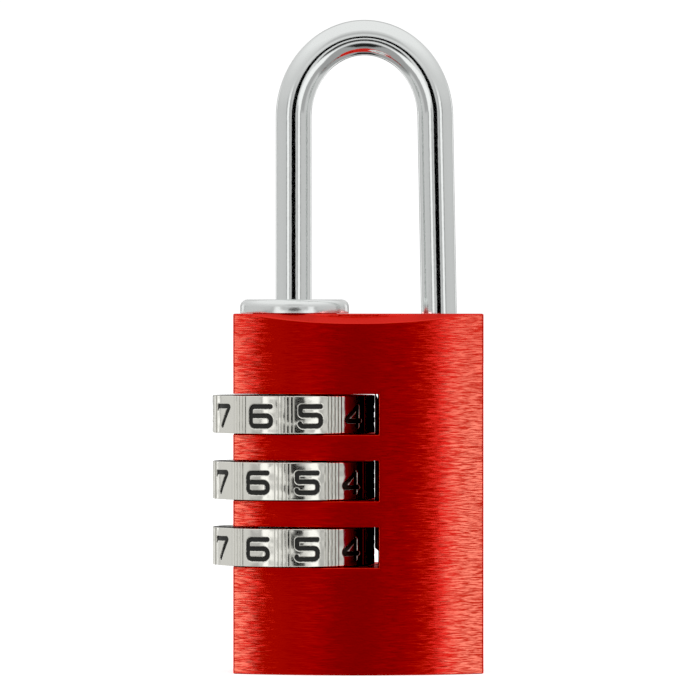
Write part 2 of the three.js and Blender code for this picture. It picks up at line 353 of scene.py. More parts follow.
def slot_heights(name):
    """The bottom and top of one wheel's slot."""
    middle = wheel_zs[name] + WHEEL_DROP
    return middle - SLOT_HEIGHT / 2, middle + SLOT_HEIGHT / 2


def block_levels():
    """Heights of the block's rings and how far each is drawn in.

    The rims at both ends are quarter circles, and the rows over the bevel lie close together. Between them
    the rows keep clear of the slots' edges, so that the edges can be rounded cleanly.
    """
    turn = np.linspace(0, math.pi / 2, 5)
    bottom = RIM_RADIUS * (1 - np.sin(turn))[::-1]
    bottom_inset = RIM_RADIUS * (1 - np.cos(turn))[::-1]
    edges = sorted(height for name in WHEELS for height in slot_heights(name))
    middle = sorted(edge + side * SLOT_ROW_MARGIN for edge in edges for side in (-1, 1))
    middle = np.concatenate([np.linspace(bottom[-1], middle[0], 4)[1:-1], middle])
    bevel_start = body_height - BEVEL_DROP - BEVEL_ROW_MARGIN
    middle = np.concatenate([middle, np.linspace(middle[-1], bevel_start, 4)[1:]])
    near_top = np.linspace(bevel_start, body_height - RIM_RADIUS, 30)[1:]
    top = body_height - RIM_RADIUS * (1 - np.sin(turn[1:]))
    top_inset = RIM_RADIUS * (1 - np.cos(turn[1:]))
    heights = np.concatenate([bottom, middle, near_top, top])
    insets = np.concatenate([bottom_inset, np.zeros(len(middle) + len(near_top)), top_inset])
    return heights, insets


def block_piece():
    """The body's block before it is cut.

    Each ring is the outline moved in along its normals. Near the top, a slanted plane limits how far the
    front and back stand out: the depth is the smooth minimum of the two, which rounds the bevel's lower edge.
    The depth is drawn in by BEVEL_MOST_INSET at most, so the topmost part of the bevel stands upright.
    """
    outline, normals = full_outline()
    heights, insets = block_levels()
    rings = outline[None] - normals[None] * insets[:, None, None]
    plane = body_half_depth - BEVEL_INSET + (body_height - heights) * BEVEL_INSET / BEVEL_DROP
    plane = plane[:, None] - insets[:, None] * BEVEL_RIM_SHARE
    depth = np.abs(rings[..., 1])
    gap = np.minimum(depth - plane, BEVEL_MOST_INSET) / BEVEL_SOFTNESS
    limited = depth - BEVEL_SOFTNESS * np.log1p(np.exp(gap))
    rings[..., 1] = np.sign(rings[..., 1]) * limited
    count = len(outline)
    points = np.concatenate([rings, np.broadcast_to(heights[:, None, None], (*rings.shape[:2], 1))], axis=-1)
    faces = grid_faces(len(heights), count, False, True).tolist()
    half = count // 2
    top = (len(heights) - 1) * count
    for k in range(half - 1):
        faces.append([k, count - 1 - k, count - 2 - k, k + 1])
        faces.append([top + k, top + k + 1, top + count - 2 - k, top + count - 1 - k])
    return face_outwards(new_piece("lock_body", points, faces))


def upright_bar(name, x, y, radius, low, high, sides=96):
    """A round bar to cut with."""
    return turned_piece(name, [(0, low, 0), (radius, low, 0), (radius, high, 0), (0, high, 0)], (x, y), sides)


def cut(piece, cutter):
    """Cuts one solid out of another and throws the cutter away."""
    cutter.modifiers.clear()
    modifier = piece.modifiers.new("cut", "BOOLEAN")
    modifier.operation = "DIFFERENCE"
    modifier.solver = "EXACT"
    modifier.object = cutter
    apply_modifiers(piece)
    bpy.data.objects.remove(cutter)


def lock_body():
    """The anodised block, with its slots, bores and holes, and a small round on every cut edge."""
    body = block_piece()
    below, above = -CUT_OVERSHOOT, body_height + CUT_OVERSHOOT
    cut(body, upright_bar("main bore", axis_x, 0, MAIN_BORE_RADIUS, below, above))
    cut(body, upright_bar("toe hole", TOE_HOLE_X, 0, TOE_HOLE_RADIUS, TOE_HOLE_END, above, 64))
    detent_x = (detent_low.x + detent_high.x) / 2
    detent_y = (detent_low.y + detent_high.y) / 2
    detent_radius = (detent_high.x - detent_low.x) / 2 + DETENT_HOLE_CLEARANCE
    cut(body, upright_bar("detent hole", detent_x, detent_y, detent_radius, below, DETENT_HOLE_END, 48))
    for name in WHEELS:
        bottom, top = slot_heights(name)
        low = (-2 * body_half_width, -2 * body_half_depth, bottom)
        high = (axis_x + SLOT_REACH, 2 * body_half_depth, top)
        cut(body, box_piece("slot", low, high))
    return round_edges(body, CUT_EDGE_ROUND, 40, False)


# ---------------------------------------------------------------- shackle

def shackle_line():
    """The shackle's centreline: up the long leg, over a half-ellipse, and down the toe leg, which leans out.

    The bow's points are (a (1 + cos t), b sin t) for t from 180 degrees to 0, from the lock axis.
    """
    rise = np.linspace(TENON_END, BOW_BASE, LEG_STEPS)[:-1]
    long_leg = np.stack([np.full_like(rise, axis_x), np.zeros_like(rise), rise], axis=1)
    turn = np.linspace(math.pi, 0, BOW_STEPS)
    bow = np.stack([
        axis_x + BOW_HALF_WIDTH * (1 + np.cos(turn)),
        np.zeros_like(turn),
        BOW_BASE + BOW_RISE * np.sin(turn),
    ], axis=1)
    drop = np.linspace(0, BOW_BASE - TOE_END, LEG_STEPS)[1:]
    lean = TOE_LEAN * drop
    toe_leg = np.stack([axis_x + 2 * BOW_HALF_WIDTH + lean, np.zeros_like(drop), BOW_BASE - drop], axis=1)
    return np.vstack([long_leg, bow, toe_leg])


def shackle_piece():
    """The bent wire, turned down to a tenon at the bottom of the long leg and rounded off at the toe."""
    line = shackle_line()
    travel = np.concatenate([[0], np.cumsum(np.linalg.norm(np.diff(line, axis=0), axis=1))])
    shoulder_at = SHOULDER - TENON_END
    shoulder_width = 0.001 * MM
    at_shoulder = np.array([shoulder_at, shoulder_at + shoulder_width])
    at_toe = travel[-1] - TOE_ROUND * (1 - np.sin(np.linspace(0, math.pi / 2, 8)))
    stations = np.unique(np.concatenate([travel, at_shoulder, at_toe]))
    points = np.stack([np.interp(stations, travel, line[:, axis]) for axis in range(3)], axis=1)
    to_end = travel[-1] - stations
    radius = np.full(len(stations), wire_radius)
    rounding = np.clip(1 - to_end / TOE_ROUND, 0, 1)
    radius -= TOE_ROUND * (1 - np.sqrt(np.clip(1 - rounding ** 2, 0, 1)))
    radius[stations <= shoulder_at] = TENON_RADIUS
    piece = swept_tube("chrome_shackle", points, radius, 64)
    return weighted_normals(piece)


# ---------------------------------------------------------------- number wheels

def glyph_strokes():
    """The digits as strokes in a square from -1 to 1: each stroke is a list of (x, y, corner radius)."""
    r = 0.42
    low = 0.06
    return {
        0: [[(-1, 0, 0), (-1, 1, r), (1, 1, r), (1, -1, r), (-1, -1, r), (-1, 0, 0)]],
        1: [[(-0.45, 0.62, 0), (0.1, 1, 0.1), (0.1, -1, 0)]],
        2: [[(-1, 0.7, 0), (-1, 1, 0.28), (1, 1, r), (1, 0.05, r), (-1, -0.25, r), (-1, -1, 0.1),
             (1, -1, 0)]],
        3: [[(-0.95, 1, 0), (1, 1, r), (1, low, 0.35), (-0.3, low, 0)],
            [(0.3, low, 0), (1, low, 0.35), (1, -1, r), (-0.95, -1, 0)]],
        4: [[(0.55, -1, 0), (0.55, 1, 0.05), (-1.16, -0.5, 0.16), (0.98, -0.5, 0)]],
        5: [[(0.98, 1, 0), (-0.92, 1, 0.1), (-0.92, 0.12, 0.22), (1, 0.12, r), (1, -1, r), (-0.92, -1, 0.3),
             (-0.95, -0.8, 0)]],
        6: [[(0.98, 1, 0), (-1, 1, r), (-1, -1, r), (1, -1, r), (1, low, r), (-1, low, 0)]],
        7: [[(-1.09, 0.78, 0), (-1.09, 1, 0.08), (1.02, 1, 0.1), (-0.1, -1, 0)]],
        8: [[(0, low, 0), (-0.92, low, r), (-0.92, 1, r), (0.92, 1, r), (0.92, low, r), (0, low, 0)],
            [(0, low, 0), (-1, low, r), (-1, -1, r), (1, -1, r), (1, low, r), (0, low, 0)]],
        9: [[(-0.98, -1, 0), (1, -1, r), (1, 1, r), (-1, 1, r), (-1, -low, r), (1, -low, 0)]],
    }


def distance_to_strokes(strokes, x, y):
    """Distance from each point (x, y) to the nearest stroke's centreline."""
    nearest = np.full(x.shape, 1.0)
    scale = np.array([GLYPH_HALF_WIDTH, GLYPH_HALF_HEIGHT])
    for stroke in strokes:
        path = rounded_path(stroke, False, 6) * scale
        for start, end in zip(path[:-1], path[1:]):
            along = end - start
            length = along @ along
            if length == 0:
                continue
            share = np.clip(((x - start[0]) * along[0] + (y - start[1]) * along[1]) / length, 0, 1)
            away = np.hypot(x - start[0] - share * along[0], y - start[1] - share * along[1])
            nearest = np.minimum(nearest, away)
    return nearest


def smooth_step(low, high, value):
    """0 below low, 1 above high, and 3 t^2 - 2 t^3 between them."""
    t = np.clip((value - low) / (high - low), 0, 1)
    return t * t * (3 - 2 * t)


def wheel_angles():
    """Angles round the wheel from the first panel's middle, closer together on the ridges."""
    half = PITCH / 2
    panel_half = half - RIDGE_HALF_ANGLE
    panel = np.linspace(-panel_half, panel_half, PANEL_COLUMNS, endpoint=False)
    ridge_end = panel_half + 2 * RIDGE_HALF_ANGLE
    ridge = np.linspace(panel_half, ridge_end, RIDGE_COLUMNS, endpoint=False)
    one = np.concatenate([panel, ridge])
    return np.concatenate([one + digit * PITCH for digit in range(DIGITS)])


def rim_relief(angle):
    """The wheel's rim at an angle from the first panel's middle, as (depth below full radius, mask for the
    painted shade of grooves and creases).

    A panel is a pillow: it drops by PANEL_CROWN times the square of the share of the way from its middle to
    its edge. A ridge carries three fine grooves, each a bell curve of the angle. The mask is 1 in the grooves
    and in the crease beside each panel, and falls to 0 away from them; it places the painted shade that
    darkens the grooves and creases.
    """
    offset = (angle + PITCH / 2) % PITCH - PITCH / 2
    panel_half = PITCH / 2 - RIDGE_HALF_ANGLE
    panel = PANEL_CROWN * (offset / panel_half) ** 2
    from_ridge = PITCH / 2 - np.abs(offset)
    middle_groove = np.exp(-(from_ridge / GROOVE_WIDTH) ** 2)
    side_groove = np.exp(-((from_ridge - GROOVE_SPACING) / GROOVE_WIDTH) ** 2)
    crease = np.exp(-((np.abs(offset) - panel_half) / GROOVE_WIDTH) ** 2)
    grooves = middle_groove + side_groove
    on_ridge = smooth_step(panel_half - RIDGE_STEP, panel_half + RIDGE_STEP, np.abs(offset))
    return panel * (1 - on_ridge) + GROOVE_DEPTH * grooves * on_ridge, np.clip(grooves + crease, 0, 1)


def number_wheel(name, centre_z, turn):
    """A number wheel: its cross-section is a closed loop round the ring, turned about the lock axis.

    The outer wall is the wheel radius less the rim relief and less the engraving, whose depth falls off with
    the distance to a digit's stroke. The bore has ten notches in its upper ring. The attribute "ink" holds
    the distance in millimetres from the edge of the nearest stroke, negative inside it, and a second
    attribute holds the mask for the shade painted into the rim's grooves and creases.
    """
    half = wheel_half_height
    wall_half = half - WHEEL_EDGE_ROUND
    rows = np.linspace(-wall_half, wall_half, RIM_ROWS)
    turn_steps = np.linspace(0, math.pi / 2, 5)[1:]
    crown = wall_half + WHEEL_EDGE_ROUND * np.sin(turn_steps)
    crown_inset = WHEEL_EDGE_ROUND * (1 - np.cos(turn_steps))
    outer_z = np.concatenate([-crown[::-1], rows, crown])
    outer_inset = np.concatenate([crown_inset[::-1], np.zeros(len(rows)), crown_inset])
    angle = wheel_angles()
    z, a = outer_z[:, None], angle[None, :]
    ink = np.full((len(outer_z), len(angle)), 1.0)
    for digit, strokes in glyph_strokes().items():
        # The first panel carries the 5, and the digits go down anticlockwise seen from above.
        offset = (a - (5 - digit) * PITCH + math.pi) % (2 * math.pi) - math.pi
        near = np.abs(offset[0]) < PITCH / 2
        x = np.broadcast_to(offset[:, near] * WHEEL_RADIUS + GLYPH_SHIFT, (len(outer_z), near.sum()))
        y = np.broadcast_to(z + GLYPH_DROP, x.shape)
        ink[:, near] = distance_to_strokes(strokes, x, y)
    engraving = ENGRAVING_DEPTH * (1 - smooth_step(0.75 * STROKE_HALF_WIDTH, 1.05 * STROKE_HALF_WIDTH, ink))
    # The second mask places the painted shade of the rim's grooves and creases.
    relief, groove_shade = rim_relief(a)
    radius = WHEEL_RADIUS - relief - engraving - outer_inset[:, None]
    notch = np.abs((a + PITCH / 2) % PITCH - PITCH / 2) < NOTCH_WIDTH / (RING_BORE_RADIUS + NOTCH_REACH)
    ring_bottom = half - RING_HEIGHT
    inner = [(RING_BORE_RADIUS, half), (RING_BORE_RADIUS, ring_bottom),
             (WHEEL_BORE_RADIUS, ring_bottom), (WHEEL_BORE_RADIUS, -half)]
    inner_z = np.array([height for _, height in inner])
    inner_radius = np.array([bore for bore, _ in inner])[:, None] + np.zeros_like(a)
    inner_radius[:2] = np.where(notch, NOTCH_REACH, inner_radius[:2])
    all_radius = np.vstack([radius, inner_radius])
    all_z = np.concatenate([outer_z, inner_z])[:, None] + np.zeros_like(a)
    place = a + turn
    points = np.stack([
        axis_x + all_radius * np.cos(place),
        all_radius * np.sin(place),
        centre_z + all_z,
    ], axis=-1)
    wheel = new_piece(name, points, grid_faces(len(all_z), len(angle), True, True))
    for label, outside, elsewhere in (("ink", (ink - STROKE_HALF_WIDTH) / MM, 1), ("groove_shade", groove_shade, 0)):
        attribute = wheel.data.attributes.new(label, "FLOAT", "POINT")
        values = np.full(all_radius.shape, elsewhere, np.float32)
        values[:len(outer_z)] = outside
        attribute.data.foreach_set("value", values.ravel())
    return face_outwards(wheel)


# ---------------------------------------------------------------- small pieces

def collar_piece():
    """The top bushing: a round-edged flange on a spigot, bored for the long leg, with the fin chamber below.

    The flange's outer points are moved by the offset between the flange and the lock axis.
    """
    seat = body_height + SEAT_GAP
    corners = [
        (LEG_BORE_RADIUS, FIN_CHAMBER_TOP, 0), (FIN_CHAMBER_RADIUS, FIN_CHAMBER_TOP, 0),
        (FIN_CHAMBER_RADIUS, collar_low.z, 0), (SPIGOT_RADIUS, collar_low.z, 0),
        (SPIGOT_RADIUS, seat, 0), (collar_radius, seat, FLANGE_FOOT_ROUND),
        (collar_radius, collar_high.z, FLANGE_TOP_ROUND), (LEG_BORE_RADIUS, collar_high.z, FLANGE_BORE_ROUND),
    ]
    collar = turned_piece("chrome_collar", corners, (axis_x, 0), 160, closed=True)
    points = np.empty(len(collar.data.vertices) * 3, np.float32)
    collar.data.vertices.foreach_get("co", points)
    points = points.reshape(-1, 3)
    on_flange = points[:, 2] >= seat - SEAT_GAP / 2
    away = np.hypot(points[:, 0] - axis_x, points[:, 1]) - LEG_BORE_RADIUS
    share = np.clip(away / FLANGE_SHIFT_SPAN, 0, 1)
    points[:, 0] += np.where(on_flange, (collar_x - axis_x) * share, 0)
    collar.data.vertices.foreach_set("co", points.ravel())
    return collar


def plug_piece(name, low, high):
    """A pressed-in plug with a rounded lower edge and a shallow dimple in its face."""
    radius = (high.x - low.x) / 2
    centre = ((low.x + high.x) / 2, (low.y + high.y) / 2)
    edge = min(0.25 * MM, radius * 0.2)
    dimple = low.z + edge * 0.8
    corners = [
        (0, dimple, 0), (radius * 0.35, dimple, radius * 0.1), (radius * 0.5, low.z, edge),
        (radius, low.z, edge), (radius, high.z, edge), (0, high.z, 0),
    ]
    return turned_piece(name, corners, centre, 96)


def detent_strip():
    """The detent spring: an upright flat strip with slanted ends, extruded along Y, its edges rounded."""
    inner, outer = strip_high.x - STRIP_THICKNESS, strip_high.x
    outline = [
        (inner, strip_low.z + STRIP_END_DROPS[0]), (outer, strip_low.z),
        (outer, strip_high.z - STRIP_END_DROPS[1]), (inner, strip_high.z),
    ]
    points = [(x, y, z) for y in (strip_low.y, strip_high.y) for x, z in outline]
    faces = [[0, 1, 2, 3], [7, 6, 5, 4]] + [[k, (k + 1) % 4, (k + 1) % 4 + 4, k + 4] for k in range(4)]
    strip = face_outwards(new_piece("detent_strip", points, faces))
    return round_edges(strip, STRIP_EDGE_ROUND, 30, True)


# ---------------------------------------------------------------- materials

def new_material(name):
    """A material with only a Principled shader, as (material, node tree, shader)."""
    material = bpy.data.materials.new(name)
    material.use_nodes = True
    tree = material.node_tree
    tree.nodes.clear()
    output = tree.nodes.new("ShaderNodeOutputMaterial")
    shader = tree.nodes.new("ShaderNodeBsdfPrincipled")
    tree.links.new(shader.outputs["BSDF"], output.inputs["Surface"])
    return material, tree, shader


def node(tree, kind, inputs=None, **settings):
    """A node with its settings and inputs: an input is a value, or another node's output to link."""
    made = tree.nodes.new(kind)
    for key, value in settings.items():
        setattr(made, key, value)
    for key, value in (inputs or {}).items():
        if isinstance(value, bpy.types.NodeSocket):
            tree.links.new(value, made.inputs[key])
        else:
            made.inputs[key].default_value = value
    return made


def math_node(tree, operation, *values):
    """The output of a Math node."""
    return node(tree, "ShaderNodeMath", dict(enumerate(values)), operation=operation).outputs[0]


def map_range(tree, value, start, end, to_start=0.0, to_end=1.0, kind="LINEAR"):
    """Carries a value from start and end to to_start and to_end, and holds it beyond them."""
    limits = {"Value": value, "From Min": start, "From Max": end, "To Min": to_start, "To Max": to_end}
    return node(tree, "ShaderNodeMapRange", limits, interpolation_type=kind).outputs["Result"]


def smooth_mask(tree, value, start, end):
    """0 before start, 1 after end, smooth between them."""
    return map_range(tree, value, start, end, kind="SMOOTHSTEP")


def blend(tree, mask, first, second):
    """Mixes two colours by a mask."""
    return node(tree, "ShaderNodeMix", {"Factor": mask, 6: first, 7: second}, data_type="RGBA").outputs[2]


def new_group(name, inputs, outputs):
    """A shader node group with named sockets, as (group, group input node, group output node)."""
    group = bpy.data.node_groups.new(name, "ShaderNodeTree")
    for label, kind, default in inputs:
        socket = group.interface.new_socket(name=label, in_out="INPUT", socket_type=kind)
        if default is not None:
            socket.default_value = default
    for label, kind in outputs:
        group.interface.new_socket(name=label, in_out="OUTPUT", socket_type=kind)
    return group, group.nodes.new("NodeGroupInput"), group.nodes.new("NodeGroupOutput")


def grain_group():
    """Stretched noise as a surface grain: gives a mask, and a normal bumped by it."""
    group, given, result = new_group("stretched grain", [
        ("Scale", "NodeSocketVector", (1000, 1000, 1000)),
        ("Depth", "NodeSocketFloat", 0.00001),
        ("Detail", "NodeSocketFloat", 3),
        ("Normal", "NodeSocketVector", None),
    ], [("Mask", "NodeSocketFloat"), ("Normal", "NodeSocketVector")])
    place = node(group, "ShaderNodeTexCoord").outputs["Object"]
    stretched = node(group, "ShaderNodeMapping", {"Vector": place, "Scale": given.outputs["Scale"]})
    noise = node(group, "ShaderNodeTexNoise", {
        "Vector": stretched.outputs["Vector"], "Scale": 1.0, "Detail": given.outputs["Detail"],
        "Roughness": 0.6,
    })
    bump = node(group, "ShaderNodeBump", {
        "Height": noise.outputs["Fac"], "Distance": given.outputs["Depth"], "Normal": given.outputs["Normal"],
    })
    group.links.new(noise.outputs["Fac"], result.inputs["Mask"])
    group.links.new(bump.outputs["Normal"], result.inputs["Normal"])
    return group


GRAIN = grain_group()


def grain(tree, scale, depth, detail=3.0, normal=None):
    """The grain group placed in a material."""
    made = node(tree, "ShaderNodeGroup", node_tree=GRAIN)
    made.inputs["Scale"].default_value = scale
    made.inputs["Depth"].default_value = depth
    made.inputs["Detail"].default_value = detail
    if normal is not None:
        tree.links.new(normal, made.inputs["Normal"])
    return made


def brushed_group():
    """A surface brushed along X: short lines that tip the normal up or down, and sideways.

    Each line is a streak of noise, long in X and thin in Z. The noise's first channel tips the normal in X,
    its second tips it in Z, and its third is the mask.
    """
    group, given, result = new_group("brushed along x", [
        ("Line Scale", "NodeSocketVector", (400, 400, 12000)),
        ("Upright Tilt", "NodeSocketFloat", 0.3),
        ("Sideways Tilt", "NodeSocketFloat", 0.1),
        ("Amount", "NodeSocketFloat", 1.0),
    ], [("Mask", "NodeSocketFloat"), ("Normal", "NodeSocketVector")])
    place = node(group, "ShaderNodeTexCoord").outputs["Object"]
    lines = node(group, "ShaderNodeMapping", {"Vector": place, "Scale": given.outputs["Line Scale"]})
    noise = node(group, "ShaderNodeTexNoise", {"Vector": lines.outputs["Vector"], "Scale": 1.0, "Detail": 2.0,
                                               "Roughness": 0.65})
    centred = node(group, "ShaderNodeVectorMath", {0: noise.outputs["Color"], 1: (0.5, 0.5, 0.5)},
                   operation="SUBTRACT")
    parts = node(group, "ShaderNodeSeparateXYZ", {"Vector": centred.outputs["Vector"]})
    sideways = math_node(group, "MULTIPLY", parts.outputs["X"], given.outputs["Sideways Tilt"])
    upright = math_node(group, "MULTIPLY", parts.outputs["Y"], given.outputs["Upright Tilt"])
    tip = node(group, "ShaderNodeCombineXYZ", {"X": sideways, "Z": upright}).outputs["Vector"]
    turned = node(group, "ShaderNodeVectorTransform", {"Vector": tip}, vector_type="VECTOR",
                  convert_from="OBJECT", convert_to="WORLD").outputs["Vector"]
    scaled = node(group, "ShaderNodeVectorMath", {0: turned, "Scale": given.outputs["Amount"]},
                  operation="SCALE")
    smooth = node(group, "ShaderNodeNewGeometry").outputs["Normal"]
    tipped = node(group, "ShaderNodeVectorMath", {0: smooth, 1: scaled.outputs["Vector"]}, operation="ADD")
    unit = node(group, "ShaderNodeVectorMath", {0: tipped.outputs["Vector"]}, operation="NORMALIZE")
    group.links.new(parts.outputs["Z"], result.inputs["Mask"])
    group.links.new(unit.outputs["Vector"], result.inputs["Normal"])
    return group


BRUSHED = brushed_group()


def red_anodised():
    """Red anodised aluminium: brushed along X on the upright faces, smooth on bevel, slots and ends.

    Toward the sides of the bowed faces a painted highlight lies in the base colour: paler glinting lines with
    darker ones between them, weaker toward the top. From the middle outward the plain red is darker, as
    painted shade. The zones follow how far the normal's X is from -0.037, so they lie a little left of the
    middle. The walls inside the block, whose normals lie along X short of its flat sides, are rougher, and
    their darker colour is painted shade.
    """
    middle_red = (0.485, 0.017, 0.013, 1)
    # Painted shade: the red away from the middle of the bowed faces is darker.
    shaded_outer_red = (0.38, 0.015, 0.012, 1)
    # Painted highlight: the dark and pale glint colours toward the sides of the bowed faces.
    painted_glint_dark = (0.27, 0.018, 0.011, 1)
    painted_glint_pale = (0.53, 0.13, 0.09, 1)
    smooth_red = (0.78, 0.045, 0.035, 1)
    # Painted shade: the darker red of the walls inside the block.
    painted_wall_shade = (0.3, 0.004, 0.02, 1)
    material, tree, shader = new_material("red_anodised_brushed")
    place = node(tree, "ShaderNodeTexCoord")
    facing = node(tree, "ShaderNodeSeparateXYZ", {"Vector": place.outputs["Normal"]}).outputs
    at = node(tree, "ShaderNodeSeparateXYZ", {"Vector": place.outputs["Object"]}).outputs
    brushed = map_range(tree, math_node(tree, "ABSOLUTE", facing["Z"]), 0.1, 0.35, 1, 0)
    lines = node(tree, "ShaderNodeGroup", {"Amount": brushed}, node_tree=BRUSHED)
    lines.inputs["Line Scale"].default_value = (900, 900, 14000)
    lines.inputs["Upright Tilt"].default_value = 0.35
    lines.inputs["Sideways Tilt"].default_value = 0.4
    streak = map_range(tree, lines.outputs["Mask"], -0.08, 0.08)
    aside = math_node(tree, "ABSOLUTE", math_node(tree, "ADD", facing["X"], 0.037))
    ragged = math_node(tree, "ADD", aside, math_node(tree, "MULTIPLY", lines.outputs["Mask"], 0.18))
    # Painted highlight: the glint zone toward the sides of the bowed faces fades toward the top.
    low_down = map_range(tree, at["Z"], 20 * MM, 29 * MM, 1, 0.6)
    outward = smooth_mask(tree, ragged, 0.33, 0.46)
    short_of_sides = smooth_mask(tree, aside, 0.8, 0.6)
    on_bow = math_node(tree, "MULTIPLY", outward, short_of_sides)
    painted_glint_zone = math_node(tree, "MULTIPLY", on_bow, low_down)
    flat_side = body_half_width - CORNER_RADIUS
    inside_x = math_node(tree, "LESS_THAN", math_node(tree, "ABSOLUTE", at["X"]), flat_side)
    # Painted shade on the walls inside the block, which are also rougher.
    wall = math_node(tree, "MULTIPLY", smooth_mask(tree, aside, 0.7, 0.9), inside_x)
    painted_glints = blend(tree, streak, painted_glint_dark, painted_glint_pale)
    # Painted shade: the plain red turns darker from the middle outward.
    plain = blend(tree, smooth_mask(tree, aside, 0.1, 0.23), middle_red, shaded_outer_red)
    # The painted highlight is mixed into the base colour here.
    faces = blend(tree, painted_glint_zone, plain, painted_glints)
    colour = blend(tree, wall, blend(tree, brushed, smooth_red, faces), painted_wall_shade)
    tree.links.new(colour, shader.inputs["Base Color"])
    tree.links.new(lines.outputs["Normal"], shader.inputs["Normal"])
    rough = map_range(tree, brushed, 0, 1, 0.25, 0.32)
    rough_wall = math_node(tree, "MULTIPLY", wall, 0.7)
    tree.links.new(math_node(tree, "MAXIMUM", rough, rough_wall), shader.inputs["Roughness"])
    tangent = node(tree, "ShaderNodeTangent", direction_type="RADIAL", axis="Z").outputs["Tangent"]
    tree.links.new(tangent, shader.inputs["Tangent"])
    shader.inputs["Anisotropic"].default_value = 0.9
    shader.inputs["Anisotropic Rotation"].default_value = 0.25
    shader.inputs["Metallic"].default_value = 1
    shader.inputs["Specular Tint"].default_value = (1, 0.5, 0.5, 1)
    return material


def chrome_plate(name, roughness):
    """Bright chrome plate with a faint uneven skin."""
    material, tree, shader = new_material(name)
    skin = grain(tree, (5000, 5000, 2200), 0.0000022, 2.0)
    tree.links.new(skin.outputs["Normal"], shader.inputs["Normal"])
    rough = map_range(tree, skin.outputs["Mask"], 0, 1, roughness - 0.03, roughness + 0.03)
    tree.links.new(rough, shader.inputs["Roughness"])
    shader.inputs["Base Color"].default_value = (0.80, 0.82, 0.81, 1)
    shader.inputs["Metallic"].default_value = 1
    return material


def point_value(tree, label):
    """The value that a piece stores at its points under a label."""
    return node(tree, "ShaderNodeAttribute", attribute_name=label, attribute_type="GEOMETRY").outputs["Fac"]


def inked_nickel():
    """Nickel-plated wheel metal with black paint in the engraved digits and painted shade in the rim's
    grooves and creases.
    """
    plate = (0.9, 0.89, 0.82, 1)
    # Painted shade: the darker colour of the rim's grooves and creases.
    painted_groove_shade = (0.42, 0.41, 0.36, 1)
    black_paint = (0.02, 0.02, 0.018, 1)
    material, tree, shader = new_material("nickel_with_inked_digits")
    edge = point_value(tree, "ink")
    waver = grain(tree, (9000, 9000, 9000), 0.0, 2.0).outputs["Mask"]
    sway = math_node(tree, "MULTIPLY", math_node(tree, "SUBTRACT", waver, 0.5), 0.12)
    metal = map_range(tree, math_node(tree, "ADD", edge, sway), -0.03, 0.02)
    # Painted shade darkens the plate in the grooves and creases.
    plate_and_groove_shade = blend(tree, point_value(tree, "groove_shade"), plate, painted_groove_shade)
    tree.links.new(blend(tree, metal, black_paint, plate_and_groove_shade), shader.inputs["Base Color"])
    tree.links.new(metal, shader.inputs["Metallic"])
    tree.links.new(map_range(tree, metal, 0, 1, 0.55, 0.12), shader.inputs["Roughness"])
    waves = grain(tree, (700, 700, 700), 0.00006, 1.0)
    skin = grain(tree, (6000, 6000, 6000), 0.0000012, 2.0, waves.outputs["Normal"])
    tree.links.new(skin.outputs["Normal"], shader.inputs["Normal"])
    return material


def plain_metal(name, colour, roughness):
    """Metal of the hidden works, with a fine cast grain."""
    material, tree, shader = new_material(name)
    skin = grain(tree, (4000, 4000, 4000), 0.000003)
    tree.links.new(skin.outputs["Normal"], shader.inputs["Normal"])
    rough = map_range(tree, skin.outputs["Mask"], 0, 1, roughness - 0.06, roughness + 0.1)
    tree.links.new(rough, shader.inputs["Roughness"])
    shader.inputs["Base Color"].default_value = (*colour, 1)
    shader.inputs["Metallic"].default_value = 1
    return material


def paint(piece, material):
    """Makes a material the piece's only one."""
    piece.data.materials.clear()
    piece.data.materials.append(material)


def dress(piece, material, slot, body, *replaced):
    """Gives a piece its material, its body and the nodes it stands for. The slot argument is not used."""
    paint(piece, material)
    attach(piece, body)
    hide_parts(*replaced)


# ---------------------------------------------------------------- studio

def grey_ramp(tree, angle, span, stops):
    """A ramp of greys over an angle from 0 to span degrees, from (angle, level) stops."""
    made = node(tree, "ShaderNodeValToRGB", {"Fac": math_node(tree, "DIVIDE", angle, span)})
    elements = made.color_ramp.elements
    elements[0].position = stops[0][0] / span
    elements[1].position = stops[-1][0] / span
    for element, (_, level) in zip(elements, (stops[0], stops[-1])):
        element.color = (level, level, level, 1)
    for at, level in stops[1:-1]:
        elements.new(at / span).color = (level, level, level, 1)
    return made.outputs["Color"]


def degrees(tree, operation, *values):
    """The angle in degrees that an inverse trigonometric Math node gives."""
    return math_node(tree, "MULTIPLY", math_node(tree, operation, *values), 180 / math.pi)


